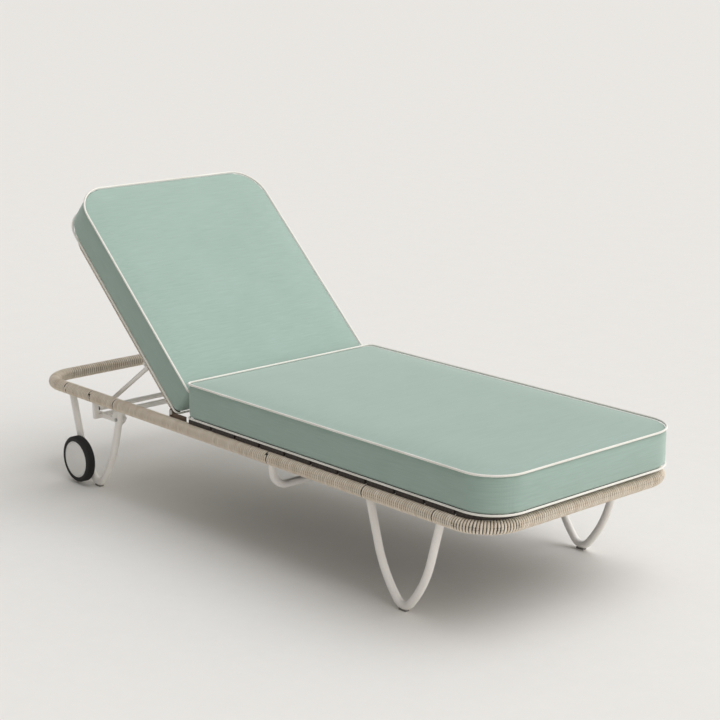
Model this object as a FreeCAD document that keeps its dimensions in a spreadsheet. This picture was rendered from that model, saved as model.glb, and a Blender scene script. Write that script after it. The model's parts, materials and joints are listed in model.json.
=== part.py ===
# Reclining sun lounger: rope-wrapped steel ring on four bent-tube legs, a slatted seat
# deck, a hinged rope-wrapped backrest held by a swinging stay, two wheels, two cushions.
# Frame: +X to the foot end, +Y to the far side, +Z up, origin on the floor under the
# centre of the ring.  Millimetres and degrees.
import FreeCAD, Part
import math
import os
import re

import Sketcher
from FreeCAD import Vector

os.makedirs("parts", exist_ok=True)

SIZES = {
    # ring frame and its rope
    "ring_length": 1960.0, "ring_width": 709.0, "ring_z": 290.0, "ring_corner": 100.0,
    "ring_od": 32.0, "ring_wall": 2.0, "rope_thick": 3.0, "wrap_gap": 0.4,
    # legs
    "front_leg_inset": 300.0, "rear_leg_inset": 282.0, "leg_side_inset": 13.0,
    "leg_od": 22.0, "leg_wall": 1.6, "leg_low": 14.0, "leg_bend": 34.0,
    "leg_bend_half": 48.5, "leg_flare": 340.0, "leg_slope": 74.0, "leg_top_drop": 6.0,
    "glide_long": 26.0, "glide_wide": 13.0, "glide_high": 5.0,
    # cross braces
    "mid_brace_x": 160.0, "mid_brace_inset": 8.5, "mid_brace_drop": 85.0,
    "mid_brace_bend": 50.0, "brace_od": 22.0, "brace_wall": 1.6,
    "rear_brace_reach": 393.0, "rear_brace_deep": 14.0, "rear_brace_high": 13.0,
    "rear_brace_drop": 71.0, "post_wide": 14.0, "post_inset": 0.5, "box_wall": 1.5,
    # backrest
    "hinge_inset": 678.0, "hinge_rise": 31.0, "recline": 42.8, "upright": 60.0,
    "back_side_inset": 24.5, "back_overhang": 23.0, "back_corner": 90.0,
    "back_od": 16.0, "back_wall": 1.5, "back_bar_s": 24.0,
    "back_slat_first": 75.0, "back_slat_wide": 40.0,
    "back_slat_thick": 12.0, "back_slat_low": 3.0, "back_slat_end": 3.0,
    "knuckle_r": 9.0, "knuckle_in": 34.5, "knuckle_out": 13.0, "pin_r": 4.0,
    "fit_gap": 0.05, "plate_thick": 4.0, "plate_gap": 0.5, "bracket_r": 10.5,
    "bracket_long": 68.0, "bracket_high": 12.0, "pin_head_r": 7.0, "pin_head": 3.0,
    # stay
    "stay_s": 180.0, "stay_n": 14.0, "stay_length": 324.4, "stay_slope": 35.4,
    "stay_rate": 0.518, "stay_od": 15.0, "stay_wall": 1.5, "stay_inset": 45.5,
    "stay_side_gap": 1.0, "stay_cap": 2.0, "stay_head_r": 6.0, "stay_head": 3.5,
    "tab_long": 24.0, "tab_deep": 16.0, "stay_arm_step": 0.5, "stay_eye_r": 8.1,
    "stay_eye_in": 1.0,
    # rack
    "rack_thick": 5.0, "rack_off": 4.5, "rack_tail": 14.0, "rack_gap": 0.5,
    "rack_notch_r": 8.0, "rack_notch_deep": 4.0, "rack_head_high": 10.0,
    "rack_bolt_drop": 50.0, "rack_bolt_r": 3.0, "rack_bolt_head": 4.0,
    "rack_land": 8.0, "rack_least": 12.0,
    # seat deck
    "deck_start": 97.0, "deck_end": 2.0, "slat_wide": 100.0, "slat_thick": 12.0,
    "slat_side": 1.5, "screw_r": 2.0, "screw_head_r": 4.0, "screw_head": 2.5,
    "screw_inset": 11.5, "screw_deep": 13.0, "end_screw_back": 22.0,
    # cushions
    "seat_start": 90.0, "seat_end": 19.0, "seat_half": 356.0, "seat_thick": 108.0,
    "seat_corner": 104.0, "seat_head_corner": 22.0, "soft_gap": 0.6,
    "pad_start": 5.0, "pad_length": 755.0, "pad_half": 344.0, "pad_thick": 100.0,
    "pad_corner": 98.0, "pad_low_corner": 16.0, "pad_edge": 30.0,
    # wheels
    "wheel_r": 72.0, "tyre_deep": 15.0, "wheel_wide": 28.0, "axle_z": 79.0,
    "axle_r": 6.0, "wheel_gap": 3.5, "hub_lip": 3.5, "cap_gap": 0.4,
    "cap_thick": 3.0, "axle_flange_r": 10.0, "axle_nut_r": 9.0,
}
SEAT_SLATS = 11
BACK_SLATS = 7
NOTCHES = (0.0, 0.36, 0.68, 1.0)

doc = FreeCAD.newDocument("sun_lounger")
dims = doc.addObject("Spreadsheet::Sheet", "dims")
for row, (alias, value) in enumerate(SIZES.items(), 1):
    dims.set("A%d" % row, alias)
    dims.set("B%d" % row, str(value))
    dims.setAlias("B%d" % row, alias)
doc.recompute()


def ex(text):
    """An expression with each named size read from the sheet."""
    return re.sub(r"[a-z_]+\w*", lambda m: "dims." + m[0] if m[0] in SIZES else m[0],
                  str(text))


def num(text):
    """The present value of an expression."""
    value = dims.evalExpression(ex(text))
    return float(getattr(value, "Value", value))


def trig(name, angle):
    return "%s((%s) * 1 deg)" % (name, angle)


HALF = "(ring_length / 2)"
SIDE = "(ring_width / 2)"
RING_R = "(ring_od / 2)"
WRAP_R = "(ring_od / 2 + rope_thick)"
RING_TOP = "(ring_z + ring_od / 2 + rope_thick)"
HINGE_X = "(hinge_inset - ring_length / 2)"
HINGE_Z = "(ring_z + hinge_rise)"
LEG_Y = "(ring_width / 2 - leg_side_inset)"
LEG_R = "(leg_od / 2)"
BACK_Y = "(ring_width / 2 - back_side_inset)"
BACK_R = "(back_od / 2)"
BACK_WRAP_R = "(back_od / 2 + rope_thick)"
BACK_TOP = "(hinge_inset + back_overhang)"
STAY_Y = "(ring_width / 2 - stay_inset)"
STAY_R = "(stay_od / 2)"


# ---------------------------------------------------------------- building blocks
def put(obj, at, yaw=0, pitch=0, roll=0):
    """Bind an object's place: a point and the turns about Z, Y and X."""
    spot = "; ".join(ex(c) for c in at)
    turn = "; ".join(ex(a) for a in (yaw, pitch, roll))
    obj.setExpression("Placement", "placement(vector(%s); rotation(%s))" % (spot, turn))
    return obj


def bind(obj, **sizes):
    for name, text in sizes.items():
        obj.setExpression(name, ex(text))
    return obj


def box(name, low, high):
    """A box between two opposite corners."""
    obj = doc.addObject("Part::Box", name)
    spans = ["(%s) - (%s)" % (b, a) for a, b in zip(low, high)]
    bind(obj, Length=spans[0], Width=spans[1], Height=spans[2])
    return put(obj, low)


def side_box(name, side, low, high):
    """A box on one side of the lounger, its Y span given as distances from the middle."""
    (x0, y0, z0), (x1, y1, z1) = low, high
    if side > 0:
        return box(name, (x0, y0, z0), (x1, y1, z1))
    return box(name, (x0, "-(%s)" % y1, z0), (x1, "-(%s)" % y0, z1))


def rod(name, radius, length, at, yaw=0, rise=0):
    """A round bar from a point, heading yaw about Z and rising from the level."""
    obj = doc.addObject("Part::Cylinder", name)
    bind(obj, Radius=radius, Height=length)
    return put(obj, at, yaw, "90 - (%s)" % rise)


def side_rod(name, side, radius, y0, y1, x, z):
    """A round bar along Y between two distances from the middle."""
    start = y0 if side > 0 else "-(%s)" % y0
    return rod(name, radius, "(%s) - (%s)" % (y1, y0), (x, start, z), 90 * side)


def bend(name, turn_radius, radius, sweep, centre, start, yaw=None):
    """A bent bar: level when yaw is None, else standing in the plane at yaw."""
    obj = doc.addObject("Part::Torus", name)
    bind(obj, Radius1=turn_radius, Radius2=radius, Angle3=sweep)
    if yaw is None:
        return put(obj, centre, start)
    return put(obj, centre, yaw, "-(%s)" % start, 90)


def fuse(name, pieces):
    obj = doc.addObject("Part::MultiFuse", name)
    obj.Shapes = pieces
    obj.Refine = False
    return obj


def cut(name, base, tools):
    obj = doc.addObject("Part::Cut", name)
    obj.Base = base
    obj.Tool = tools[0] if len(tools) == 1 else fuse(name + "_tools", tools)
    obj.Refine = False
    return obj


def group(name, pieces):
    obj = doc.addObject("Part::Compound", name)
    obj.Links = pieces
    return obj


nodes = []


def node(obj, label):
    """Name a finished piece, which also names its file."""
    obj.Label = label
    nodes.append(obj)
    return obj


def hollow(name, runs, radius, wall, tools=()):
    """A tube along the runs: the outside less the inside less what it is coped to."""
    outside = fuse(name + "_outside", runs(name + "_o", radius))
    inside = fuse(name + "_inside", runs(name + "_i", "%s - %s" % (radius, wall)))
    return cut(name, outside, [inside, *tools])


def plane(body, role):
    return next(o for o in body.Origin.OriginFeatures if o.Role == role)


def outline(body, name, role, corners):
    """A closed sketch of straight sides whose corners are bound to the sheet."""
    sketch = body.newObject("Sketcher::SketchObject", name)
    sketch.AttachmentSupport = [(plane(body, role), "")]
    sketch.MapMode = "FlatFace"
    spots = [(num(a), num(b)) for a, b in corners]
    for (xa, ya), (xb, yb) in zip(spots, spots[1:] + spots[:1]):
        sketch.addGeometry(Part.LineSegment(Vector(xa, ya, 0), Vector(xb, yb, 0)))
    last = len(spots)
    for i in range(last):
        sketch.addConstraint(Sketcher.Constraint("Coincident", i, 2, (i + 1) % last, 1))
    for i, (a, b) in enumerate(corners):
        for kind, text, value in (("DistanceX", a, spots[i][0]), ("DistanceY", b, spots[i][1])):
            index = sketch.addConstraint(Sketcher.Constraint(kind, -1, 1, i, 1, value))
            sketch.setExpression("Constraints[%d]" % index, ex(text))
    return sketch


def revolved(name, corners):
    """A body turned about the Y axis from an outline given as (radius, distance)."""
    body = doc.addObject("PartDesign::Body", name)
    sketch = outline(body, name + "_profile", "XY_Plane", corners)
    turn = body.newObject("PartDesign::Revolution", name + "_turn")
    turn.Profile = sketch
    turn.ReferenceAxis = (sketch, ["V_Axis"])
    turn.Angle = 360.0
    return body


def padded_body(name, role, corners, length):
    body = doc.addObject("PartDesign::Body", name)
    sketch = outline(body, name + "_outline", role, corners)
    pad = body.newObject("PartDesign::Pad", name + "_pad")
    pad.Profile = sketch
    pad.setExpression("Length", ex(length))
    return body, pad


def rounded(body, base, name, radius, wanted):
    """A fillet on the base feature's edges that the test picks."""
    doc.recompute()
    picked = ["Edge%d" % (i + 1) for i, edge in enumerate(base.Shape.Edges) if wanted(edge)]
    fillet = body.newObject("PartDesign::Fillet", name)
    fillet.Base = (base, picked)
    fillet.setExpression("Radius", ex(radius))
    return fillet


# ---------------------------------------------------------------- linkage
def stay_pivot(angle):
    """The stay's pivot with the backrest at an angle above the level."""
    c, s = math.cos(math.radians(angle)), math.sin(math.radians(angle))
    return (num(HINGE_X) - num("stay_s") * c - num("stay_n") * s,
            num(HINGE_Z) + num("stay_s") * s - num("stay_n") * c)


def stay_foot(angle):
    """The stay's cross bar with the backrest at an angle: the stay turns at a fixed rate."""
    x, z = stay_pivot(angle)
    slope = math.radians(num("stay_slope") + num("stay_rate") * (angle - num("recline")))
    return x - num("stay_length") * math.cos(slope), z - num("stay_length") * math.sin(slope)


# ---------------------------------------------------------------- legs: their centre line
BEND_X = "leg_bend * " + trig("sin", "leg_bend_half")
BEND_Z = "leg_low + leg_bend * (1 - %s)" % trig("cos", "leg_bend_half")
FLARE_CX = "(%s - leg_flare * %s)" % (BEND_X, trig("sin", "leg_bend_half"))
FLARE_CZ = "(%s + leg_flare * %s)" % (BEND_Z, trig("cos", "leg_bend_half"))
SLOPE_X = "(%s + leg_flare * %s)" % (FLARE_CX, trig("sin", "leg_slope"))
SLOPE_Z = "(%s - leg_flare * %s)" % (FLARE_CZ, trig("cos", "leg_slope"))
LEG_RUN = "((ring_z - leg_top_drop - %s) / %s)" % (SLOPE_Z, trig("sin", "leg_slope"))
FRONT_LEG_X = "(%s - front_leg_inset)" % HALF
REAR_LEG_X = "(rear_leg_inset - %s)" % HALF


def leg_arm(height):
    """The distance from a leg's middle to its arm's centre line, above the bends."""
    return "(%s + (%s - %s) / %s)" % (SLOPE_X, height, SLOPE_Z, trig("tan", "leg_slope"))


def leg_curve(height):
    """The distance from a leg's middle to its arm's centre line, in the flared bend."""
    return "(%s + sqrt(leg_flare * leg_flare - (%s - %s)^2))" % (FLARE_CX, FLARE_CZ, height)


def leg_runs(x, side):
    y = "%s * %d" % (LEG_Y, side)

    def runs(name, radius):
        flare = "leg_slope - leg_bend_half"
        return [
            bend(name + "_foot", "leg_bend", radius, "2 * leg_bend_half",
                 (x, y, "leg_low + leg_bend"), "270 - leg_bend_half", 0),
            bend(name + "_flare_a", "leg_flare", radius, flare,
                 ("%s + %s" % (x, FLARE_CX), y, FLARE_CZ), "270 + leg_bend_half", 0),
            bend(name + "_flare_b", "leg_flare", radius, flare,
                 ("%s - %s" % (x, FLARE_CX), y, FLARE_CZ), "270 - leg_slope", 0),
            rod(name + "_arm_a", radius, LEG_RUN,
                ("%s + %s" % (x, SLOPE_X), y, SLOPE_Z), 0, "leg_slope"),
            rod(name + "_arm_b", radius, LEG_RUN,
                ("%s - %s" % (x, SLOPE_X), y, SLOPE_Z), 180, "leg_slope"),
        ]
    return runs


# ---------------------------------------------------------------- ring frame
def ring_runs(name, radius):
    straight = "ring_length - 2 * ring_corner"
    across = "ring_width - 2 * ring_corner"
    cx = "(%s - ring_corner)" % HALF
    cy = "(%s - ring_corner)" % SIDE
    pieces = [
        rod(name + "_near", radius, straight, ("-" + cx, "-" + SIDE, "ring_z")),
        rod(name + "_far", radius, straight, ("-" + cx, SIDE, "ring_z")),
        rod(name + "_head", radius, across, ("-" + HALF, "-" + cy, "ring_z"), 90),
        rod(name + "_foot", radius, across, (HALF, "-" + cy, "ring_z"), 90),
    ]
    for start, sx, sy in ((0, "", ""), (90, "-", ""), (180, "-", "-"), (270, "", "-")):
        pieces.append(bend("%s_corner_%d" % (name, start), "ring_corner", radius, 90,
                           (sx + cx, sy + cy, "ring_z"), start))
    return pieces


def rail_tool(name, side, radius=RING_R):
    """A side rail's round, for coping what meets it."""
    return rod(name, radius, "ring_length - 2 * ring_corner",
               ("ring_corner - " + HALF, "%s * %d" % (SIDE, side), "ring_z"))


# ---------------------------------------------------------------- seat deck
SLAT_FIRST = "(%s + deck_start + slat_wide / 2)" % HINGE_X
SLAT_LAST = "(%s - deck_end - slat_wide / 2)" % HALF
DECK_HALF = "(%s + slat_side)" % SIDE


def slat_x(i):
    return "(%s + (%s - %s) * %d / %d)" % (SLAT_FIRST, SLAT_LAST, SLAT_FIRST, i, SEAT_SLATS - 1)


def screw(name, i, side):
    """A countersunk deck screw, head flush with the slat's top."""
    x = slat_x(i) if i < SEAT_SLATS - 1 else "(%s - end_screw_back)" % slat_x(i)
    y = "%d * (%s - screw_inset)" % (side, SIDE)
    top = "%s + slat_thick" % RING_TOP
    shank = rod(name + "_shank", "screw_r", "slat_thick + screw_deep",
                (x, y, "%s - screw_deep" % RING_TOP), 0, 90)
    head = rod(name + "_head", "screw_head_r", "screw_head",
               (x, y, "%s - screw_head" % top), 0, 90)
    return fuse(name, [shank, head])


deck, deck_pad = padded_body("deck_outline", "XY_Plane", [
    ("-" + DECK_HALF, "-" + DECK_HALF), (HALF + " + slat_side", "-" + DECK_HALF),
    (HALF + " + slat_side", DECK_HALF), ("-" + DECK_HALF, DECK_HALF)], "ring_z * 2")
rounded(deck, deck_pad, "deck_corners", "ring_corner + slat_side",
        lambda e: abs(e.BoundBox.ZLength - num("ring_z * 2")) < 1 and e.BoundBox.XMin > 0)

screws = {}
for i in range(SEAT_SLATS):
    for side in (-1, 1):
        screws[i, side] = screw("screw_%02d_%s" % (i, "far" if side > 0 else "near"), i, side)
for i in range(SEAT_SLATS):
    plank = box("plank_%02d" % i,
                ("%s - slat_wide / 2" % slat_x(i), "-" + DECK_HALF, RING_TOP),
                ("%s + slat_wide / 2" % slat_x(i), DECK_HALF, RING_TOP + " + slat_thick"))
    trimmed = doc.addObject("Part::Common", "plank_trim_%02d" % i)
    trimmed.Base = plank
    trimmed.Tool = deck
    node(cut("slat_%02d" % i, trimmed, [screws[i, -1], screws[i, 1]]),
         "seat_slat_%02d" % (i + 1))
screw_set = node(group("screw_set", list(screws.values())), "seat_slat_screws")

# ---------------------------------------------------------------- ring tube, wraps, legs
ring = node(hollow("ring", ring_runs, RING_R, "ring_wall", [screw_set]), "ring_frame_tube")

ENDS = {"near": -1, "far": 1}
legs = {}
for end, x in (("front", FRONT_LEG_X), ("rear", REAR_LEG_X)):
    for name, side in ENDS.items():
        legs[end, name] = (x, side)

BOLT_Z = "(ring_z - rack_bolt_drop)"
BOLT_X = "(%s + %s)" % (REAR_LEG_X, leg_arm(BOLT_Z))
AXLE_X = "(%s - %s)" % (REAR_LEG_X, leg_curve("axle_z"))
RACK_Y = "(%s - %s - rack_off)" % (LEG_Y, LEG_R)
HEAD_Y = "(%s - rack_thick / 2)" % RACK_Y
RACK_OUT = "(%s + rack_thick / 2)" % RACK_Y
WHEEL_IN = "(%s + %s + wheel_gap)" % (LEG_Y, LEG_R)
WHEEL_OUT = "(%s + wheel_wide)" % WHEEL_IN

rack_bolts = {}
axles = {}
for name, side in ENDS.items():
    rack_bolts[name] = fuse("rack_bolt_" + name, [
        side_rod("rack_bolt_head_" + name, side, "2 * rack_bolt_r",
                 HEAD_Y + " - rack_bolt_head", HEAD_Y, BOLT_X, BOLT_Z),
        side_rod("rack_bolt_shank_" + name, side, "rack_bolt_r",
                 HEAD_Y, "%s + %s + 4" % (LEG_Y, LEG_R), BOLT_X, BOLT_Z),
        side_rod("rack_bolt_nut_" + name, side, "2 * rack_bolt_r - 0.5",
                 "%s + %s + 0.2" % (LEG_Y, LEG_R), "%s + %s + 3.4" % (LEG_Y, LEG_R),
                 BOLT_X, BOLT_Z)])
    axles[name] = fuse("axle_" + name, [
        side_rod("axle_shaft_" + name, side, "axle_r",
                 "%s - %s - 9" % (LEG_Y, LEG_R), WHEEL_OUT + " - cap_thick - 1.5",
                 AXLE_X, "axle_z"),
        side_rod("axle_flange_" + name, side, "axle_flange_r",
                 "%s + %s + 0.2" % (LEG_Y, LEG_R), WHEEL_IN + " - 0.3", AXLE_X, "axle_z"),
        side_rod("axle_nut_" + name, side, "axle_nut_r",
                 "%s - %s - 8" % (LEG_Y, LEG_R), "%s - %s - 0.2" % (LEG_Y, LEG_R),
                 AXLE_X, "axle_z")])
node(group("rack_bolt_set", list(rack_bolts.values())), "rack_bolts")
node(group("axle_set", list(axles.values())), "wheel_axles")

glides = []
for (end, name), (x, side) in legs.items():
    key = "leg_%s_%s" % (end, name)
    tools = [rail_tool(key + "_rail", side)]
    if end == "rear":
        tools += [rack_bolts[name], axles[name]]
    leg = node(hollow(key, leg_runs(x, side), LEG_R, "leg_wall", tools), key)
    pad = side_box(key + "_pad", side,
                   ("%s - glide_long / 2" % x, "%s - glide_wide / 2" % LEG_Y, "0"),
                   ("%s + glide_long / 2" % x, "%s + glide_wide / 2" % LEG_Y, "glide_high"))
    glides.append(cut(key + "_glide", pad, [doc.getObject(key + "_outside")]))
node(group("glide_set", glides), "leg_glides")


# ---------------------------------------------------------------- cross braces
def mid_brace_runs(name, radius):
    y = "(%s - mid_brace_inset)" % SIDE
    low = "(ring_z - mid_brace_drop)"
    turn = "(%s - mid_brace_bend)" % y
    rise = "mid_brace_drop - mid_brace_bend - leg_top_drop"
    level = "%s + mid_brace_bend" % low
    return [
        rod(name + "_run", radius, "2 * " + turn, ("mid_brace_x", "-" + turn, low), 90),
        bend(name + "_far", "mid_brace_bend", radius, 90,
             ("mid_brace_x", turn, level), 270, 90),
        bend(name + "_near", "mid_brace_bend", radius, 90,
             ("mid_brace_x", "-" + turn, level), 180, 90),
        rod(name + "_far_up", radius, rise, ("mid_brace_x", y, level), 0, 90),
        rod(name + "_near_up", radius, rise, ("mid_brace_x", "-" + y, level), 0, 90),
    ]


node(hollow("mid_brace", mid_brace_runs, "(brace_od / 2)", "brace_wall",
            [rail_tool("mid_rail_near", -1), rail_tool("mid_rail_far", 1)]), "mid_brace")

BRACE_X = "(%s - rear_brace_reach)" % HINGE_X
BRACE_X0 = "(%s - rear_brace_deep / 2)" % BRACE_X
BRACE_X1 = "(%s + rear_brace_deep / 2)" % BRACE_X
BRACE_Z0 = "(ring_z - rear_brace_drop)"
BRACE_Z1 = "(%s + rear_brace_high)" % BRACE_Z0
POST_OUT = "(%s - post_inset)" % SIDE
POST_IN = "(%s - post_wide)" % POST_OUT


def brace_shell(name, inner):
    """The rear brace's cross bar and its two posts, or their hollows."""
    w = "box_wall" if inner else "0"
    low = ("%s + %s" % (BRACE_X0, w), "-%s + %s" % (POST_OUT, w), "%s + %s" % (BRACE_Z0, w))
    high = ("%s - %s" % (BRACE_X1, w), "%s - %s" % (POST_OUT, w), "%s - %s" % (BRACE_Z1, w))
    pieces = [box(name + "_bar", low, high)]
    for key, side in ENDS.items():
        pieces.append(side_box(
            "%s_post_%s" % (name, key), side,
            ("%s + %s" % (BRACE_X0, w), "%s + %s" % (POST_IN, w), "%s + %s" % (BRACE_Z0, w)),
            ("%s - %s" % (BRACE_X1, w), "%s - %s" % (POST_OUT, w), "ring_z - 4")))
    return pieces


node(cut("rear_brace", fuse("rear_brace_outside", brace_shell("brace_o", False)),
         [fuse("rear_brace_inside", brace_shell("brace_i", True)),
          rail_tool("brace_rail_near", -1), rail_tool("brace_rail_far", 1)]), "rear_brace")

# ---------------------------------------------------------------- rack the stay rests on
rest_x, rest_z = stay_foot(num("recline"))
top_x, top_z = stay_foot(num("upright"))
tail_x = rest_x - num("rack_tail")
reach = num("stay_od / 2 + rack_gap")
stations = [num("recline") + (num("upright") - num("recline")) * k / 8 for k in range(9)]
rail = [(x, z - reach) for x, z in (stay_foot(a) for a in stations)]
tail_z = stay_foot(num("recline") - 4.0)[1] - reach
stop_x = top_x + reach
head_z = top_z + num("rack_head_high")
land = num("rack_land")
head_x = num(BOLT_X) + land
bolt_z = num(BOLT_Z)
low_z = min(num(BRACE_Z0), min(z for x, z in rail) - num("rack_least"), bolt_z - 2 * land)
profile = [(tail_x, low_z), (head_x - 2 * land, low_z), (head_x, bolt_z - land),
           (head_x, head_z), (stop_x, head_z),
           (stop_x, rail[-1][1])] + rail[::-1] + [(tail_x, min(tail_z, rail[0][1]))]

for name, side in ENDS.items():
    y = side * num(RACK_Y) - num("rack_thick") / 2
    plate = Part.Face(Part.makePolygon([Vector(x, y, z) for x, z in profile + profile[:1]]))
    plate = plate.extrude(Vector(0, num("rack_thick"), 0))
    for part in NOTCHES:
        angle = num("recline") + part * num("upright - recline")
        x, z = stay_foot(angle)
        plate = plate.cut(Part.makeCylinder(num("rack_notch_r"), num("rack_thick") + 2,
                                            Vector(x, y - 1, z - num("rack_notch_deep")),
                                            Vector(0, 1, 0)))
    blank = doc.addObject("Part::Feature", "rack_blank_" + name)
    blank.Shape = plate
    lap = box("rack_lap_" + name, (BRACE_X0, "-" + SIDE, BRACE_Z0 + " - 5"),
              (BRACE_X1, SIDE, BRACE_Z1))
    node(cut("rack_" + name, blank, [lap, rack_bolts[name]]), "stay_rack_" + name)

spacers = []
for name, side in ENDS.items():
    sleeve = side_rod("spacer_rod_" + name, side, "3 * rack_bolt_r", RACK_OUT, LEG_Y,
                      BOLT_X, BOLT_Z)
    spacers.append(cut("spacer_" + name, sleeve,
                       [doc.getObject("leg_rear_%s_outside" % name), rack_bolts[name]]))
node(group("spacer_set", spacers), "rack_spacers")

# ---------------------------------------------------------------- hinge brackets and pins
PLATE_IN = "(%s - knuckle_out + plate_gap)" % SIDE
PLATE_OUT = "(%s + plate_thick)" % PLATE_IN
pins = {}
brackets = {}
for name, side in ENDS.items():
    pins[name] = fuse("pin_" + name, [
        side_rod("pin_shank_" + name, side, "pin_r", "%s - knuckle_in - 2" % SIDE, PLATE_OUT,
                 HINGE_X, HINGE_Z),
        side_rod("pin_head_" + name, side, "pin_head_r", PLATE_OUT, PLATE_OUT + " + pin_head",
                 HINGE_X, HINGE_Z)])
    foot_z = "ring_z + 8"
    brackets[name] = [
        side_box("bracket_bar_" + name, side, (HINGE_X, PLATE_IN, foot_z),
                 (HINGE_X + " + bracket_long", PLATE_OUT,
                  HINGE_Z + " - 13 + bracket_high")),
        side_box("bracket_root_" + name, side, (HINGE_X + " - bracket_r", PLATE_IN, foot_z),
                 (HINGE_X + " + bracket_r", PLATE_OUT, HINGE_Z)),
        side_rod("bracket_eye_" + name, side, "bracket_r", PLATE_IN, PLATE_OUT,
                 HINGE_X, HINGE_Z)]
    node(cut("bracket_" + name, fuse("bracket_blank_" + name, brackets[name]),
             [rail_tool("bracket_rail_" + name, side), pins[name]]), "hinge_bracket_" + name)
node(group("pin_set", list(pins.values())), "hinge_pins")

# ---------------------------------------------------------------- rope wraps on the ring
CORNER_X = "(%s - ring_corner)" % HALF


def wrap_tools(name, side):
    """Where the rope parts on a side rail: legs, braces, screws and the hinge bracket."""
    tools = []
    for end, x in (("front", FRONT_LEG_X), ("rear", REAR_LEG_X)):
        for way, yaw in (("+", 0), ("-", 180)):
            tools.append(rod("part_%s_%s_%d" % (name, end, yaw),
                             LEG_R + " + wrap_gap", LEG_RUN + " + 8",
                             ("%s %s %s" % (x, way, SLOPE_X), "%s * %d" % (LEG_Y, side),
                              SLOPE_Z), yaw, "leg_slope"))
    tools.append(rod("part_%s_mid" % name, "brace_od / 2 + wrap_gap", "mid_brace_drop",
                     ("mid_brace_x", "(%s - mid_brace_inset) * %d" % (SIDE, side),
                      "ring_z - mid_brace_drop"), 0, 90))
    tools.append(side_box("part_%s_post" % name, side,
                          (BRACE_X0 + " - wrap_gap", POST_IN + " - wrap_gap", BRACE_Z0),
                          (BRACE_X1 + " + wrap_gap", POST_OUT + " + wrap_gap", "ring_z")))
    tools.append(side_box("part_%s_bracket" % name, side,
                          (HINGE_X + " - bracket_r - wrap_gap", PLATE_IN + " - wrap_gap",
                           "ring_z"),
                          (HINGE_X + " + bracket_long + wrap_gap", PLATE_OUT + " + wrap_gap",
                           "ring_z + ring_od")))
    return tools


for name, side in ENDS.items():
    sleeve = rail_tool("sleeve_" + name, side, WRAP_R)
    core = rail_tool("sleeve_core_" + name, side)
    node(cut("wrap_" + name, sleeve, [core, screw_set, *wrap_tools(name, side)]),
         "ring_wrap_" + name)


def end_wrap(name, way):
    """The rope round one end of the ring with its two corners."""
    def runs(key, radius):
        sign = "" if way > 0 else "-"
        cy = "(%s - ring_corner)" % SIDE
        first, second = (0, 270) if way > 0 else (90, 180)
        return [
            rod(key + "_run", radius, "2 * " + cy, (sign + HALF, "-" + cy, "ring_z"), 90),
            bend(key + "_far", "ring_corner", radius, 90, (sign + CORNER_X, cy, "ring_z"), first),
            bend(key + "_near", "ring_corner", radius, 90,
                 (sign + CORNER_X, "-" + cy, "ring_z"), second)]
    outside = fuse(name + "_outside", runs(name + "_o", WRAP_R))
    inside = fuse(name + "_inside", runs(name + "_i", RING_R))
    tools = [inside, screw_set] if way > 0 else [inside]
    return node(cut(name, outside, tools), name)


end_wrap("ring_wrap_head", -1)
end_wrap("ring_wrap_foot", 1)


# ---------------------------------------------------------------- backrest
# Drawn lying back along -X from the hinge line, then turned up about it.
def lean(obj):
    return put(obj, (HINGE_X, "0", HINGE_Z), 0, "recline")


def back_runs(name, radius):
    cy = "(%s - back_corner)" % BACK_Y
    cx = "(%s - back_corner)" % BACK_TOP
    return [
        rod(name + "_near", radius, cx, ("0", "-" + BACK_Y, "0"), 180),
        rod(name + "_far", radius, cx, ("0", BACK_Y, "0"), 180),
        bend(name + "_corner_far", "back_corner", radius, 90, ("-" + cx, cy, "0"), 90),
        bend(name + "_corner_near", "back_corner", radius, 90, ("-" + cx, "-" + cy, "0"), 180),
        rod(name + "_top", radius, "2 * " + cy, ("-" + BACK_TOP, "-" + cy, "0"), 90),
    ]


def knuckle(name, side, radius):
    return side_rod(name, side, radius, "%s - knuckle_in" % SIDE, "%s - knuckle_out" % SIDE,
                    "0", "0")


def back_bar(name, radius):
    return rod(name, radius, "2 * " + BACK_Y, ("-back_bar_s", "-" + BACK_Y, "0"), 90)


def back_side(name, side, radius):
    return rod(name, radius, BACK_TOP + " - back_corner", ("0", "%s * %d" % (BACK_Y, side), "0"),
               180)


eyes = [knuckle("loop_eye_near", -1, "knuckle_r"), knuckle("loop_eye_far", 1, "knuckle_r")]
lean(node(hollow("back_loop", back_runs, BACK_R, "back_wall", eyes), "backrest_frame_tube"))

bar = cut("back_bar", back_bar("back_bar_outside", BACK_R),
          [back_bar("back_bar_inside", BACK_R + " - back_wall"),
           back_side("back_bar_near", -1, BACK_R), back_side("back_bar_far", 1, BACK_R)])
lean(node(bar, "backrest_lower_bar"))

TAB_IN = "(%s - plate_thick / 2)" % BACK_Y
TAB_OUT = "(%s + plate_thick / 2)" % BACK_Y


def tab_box(name, side, slack, top):
    return side_box(name, side,
                    ("-stay_s - tab_long / 2 - %s" % slack, TAB_IN + " - " + slack,
                     "-%s - tab_deep - %s" % (BACK_R, slack)),
                    ("-stay_s + tab_long / 2 + %s" % slack, TAB_OUT + " + " + slack, top))


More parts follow.
